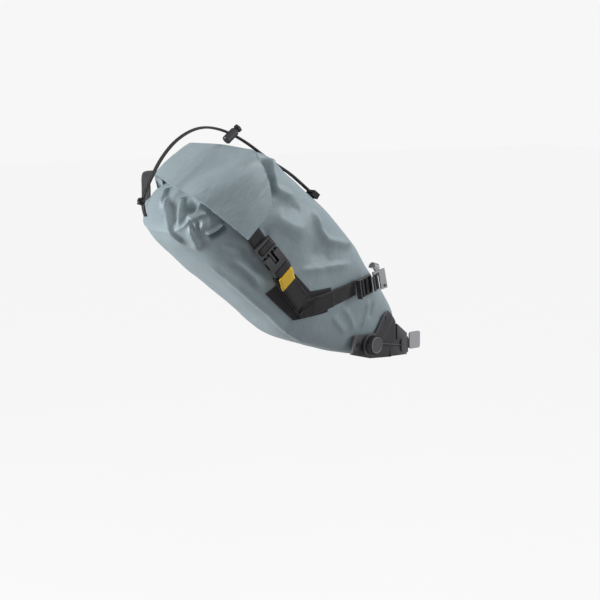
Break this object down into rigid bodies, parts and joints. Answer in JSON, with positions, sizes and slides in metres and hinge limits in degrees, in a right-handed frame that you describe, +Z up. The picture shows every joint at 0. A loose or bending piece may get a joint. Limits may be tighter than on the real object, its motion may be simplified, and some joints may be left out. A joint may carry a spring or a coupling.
{
  "type": "bicycle saddle bag",
  "caption": "Roll-top seat-post bag with rail hooks, side-release buckles, a dial-tightened post bracket and a shock cord.",
  "frame": {"origin": "middle of the seat-post clamp, on the post's axis", "axes": "+Z up the seat post, +X forward along the bicycle, +Y to its left"},
  "size_m": [0.4202, 0.1628, 0.3155],
  "materials": {
    "blue_fabric": "satin",
    "liner_sheet": "matte",
    "black_plastic": "matte",
    "black_webbing": "matte",
    "patch_fabric": "matte",
    "yellow_tab": "matte",
    "grey_tab": "matte",
    "black_rubber": "matte",
    "hook_aluminium": "satin",
    "dark_steel": "satin",
    "cord_sheath": "matte",
    "spring_steel": "satin"
  },
  "bodies": {
    "bag": {"bag_body": "blue_fabric", "collar": "blue_fabric", "nose_stiffener": "liner_sheet", "roll_top": "blue_fabric", "roll_stiffener": "liner_sheet", "mount_bracket": "black_plastic", "post_pad": "black_rubber", "bracket_rivets": "dark_steel", "dial_base": "black_plastic", "dial_lace": "dark_steel", "lace_guide": "black_plastic", "strap_hinge_pin": "spring_steel", "cord_anchor": "black_webbing", "shock_cord_right": "cord_sheath", "shock_cord_left": "cord_sheath", "cord_knot": "cord_sheath", "cord_lock_barrel": "black_plastic", "cord_lock_spring": "spring_steel", "side_patch_right": "patch_fabric", "rail_strap_right": "black_webbing", "ladder_lock_right": "black_plastic", "hook_strap_right": "black_webbing", "buckle_female_right": "black_plastic", "buckle_strap_right": "black_webbing", "buckle_pull_tab_right": "yellow_tab", "side_patch_left": "patch_fabric", "rail_strap_left": "black_webbing", "ladder_lock_left": "black_plastic", "hook_strap_left": "black_webbing", "buckle_female_left": "black_plastic", "buckle_strap_left": "black_webbing", "buckle_pull_tab_left": "yellow_tab"},
    "dial_sleeve": {"dial_sleeve": "spring_steel"},
    "dial_knob": {"dial_knob": "black_rubber", "dial_face": "black_plastic"},
    "dial_spool": {"dial_spool": "black_plastic"},
    "post_strap": {"post_strap": "black_plastic", "strap_pull_tab": "grey_tab"},
    "cord_lock_plunger": {"cord_lock_plunger": "black_plastic"},
    "plug_right": {"buckle_male_right": "black_plastic", "roll_strap_right": "black_webbing"},
    "upper_prong_right": {"buckle_prong_upper_right": "black_plastic"},
    "lower_prong_right": {"buckle_prong_lower_right": "black_plastic"},
    "hook_right": {"rail_hook_right": "hook_aluminium", "hook_rivet_right": "dark_steel"},
    "plug_left": {"buckle_male_left": "black_plastic", "roll_strap_left": "black_webbing"},
    "upper_prong_left": {"buckle_prong_upper_left": "black_plastic"},
    "lower_prong_left": {"buckle_prong_lower_left": "black_plastic"},
    "hook_left": {"rail_hook_left": "hook_aluminium", "hook_rivet_left": "dark_steel"}
  },
  "joints": [
    {"name": "dial_pull", "type": "slide", "parent": "bag", "child": "dial_sleeve", "axis": [0.225, -0.9744, 0], "range_m": [0, 0.0025]},
    {"name": "dial_turn", "type": "hinge", "parent": "dial_sleeve", "child": "dial_knob", "pos_m": [-0.069, -0.032, 0.0135], "axis": [0.225, -0.9744, 0], "continuous": true},
    {"name": "spool_turn", "type": "hinge", "parent": "bag", "child": "dial_spool", "pos_m": [-0.069, -0.032, 0.0135], "axis": [0.225, -0.9744, 0], "continuous": true},
    {"name": "post_strap_open", "type": "hinge", "parent": "bag", "child": "post_strap", "pos_m": [0.007, 0.0205, 0.002], "axis": [0, 0, 1], "range_deg": [0, 100]},
    {"name": "cord_lock_press", "type": "slide", "parent": "bag", "child": "cord_lock_plunger", "axis": [-0.7682, 0, -0.6402], "range_m": [0, 0.004], "stiffness_N_per_m": 300, "springref_m": -0.004},
    {"name": "buckle_release_right", "type": "slide", "parent": "bag", "child": "plug_right", "axis": [-0.6606, 0, 0.7507], "range_m": [0, 0.0138]},
    {"name": "upper_prong_squeeze_right", "type": "hinge", "parent": "plug_right", "child": "upper_prong_right", "pos_m": [-0.26276, -0.0759, 0.14763], "axis": [0, -1, 0], "range_deg": [0, 8], "stiffness_Nm_per_rad": 0.06},
    {"name": "lower_prong_squeeze_right", "type": "hinge", "parent": "plug_right", "child": "lower_prong_right", "pos_m": [-0.25345, -0.0759, 0.15582], "axis": [0, -1, 0], "range_deg": [-8, 0], "stiffness_Nm_per_rad": 0.06},
    {"name": "hook_swing_right", "type": "hinge", "parent": "bag", "child": "hook_right", "pos_m": [-0.07161, -0.0461, 0.09876], "axis": [-0.213, 0, 0.977], "range_deg": [-45, 0]},
    {"name": "buckle_release_left", "type": "slide", "parent": "bag", "child": "plug_left", "axis": [-0.6606, 0, 0.7507], "range_m": [0, 0.0138]},
    {"name": "upper_prong_squeeze_left", "type": "hinge", "parent": "plug_left", "child": "upper_prong_left", "pos_m": [-0.26276, 0.0759, 0.14763], "axis": [0, -1, 0], "range_deg": [0, 8], "stiffness_Nm_per_rad": 0.06},
    {"name": "lower_prong_squeeze_left", "type": "hinge", "parent": "plug_left", "child": "lower_prong_left", "pos_m": [-0.25345, 0.0759, 0.15582], "axis": [0, -1, 0], "range_deg": [-8, 0], "stiffness_Nm_per_rad": 0.06},
    {"name": "hook_swing_left", "type": "hinge", "parent": "bag", "child": "hook_left", "pos_m": [-0.07161, 0.0461, 0.09876], "axis": [-0.213, 0, 0.977], "range_deg": [0, 45]}
  ],
  "couplings": [
    {"joint": "spool_turn", "follows": "dial_turn", "ratio": 1}
  ]
}
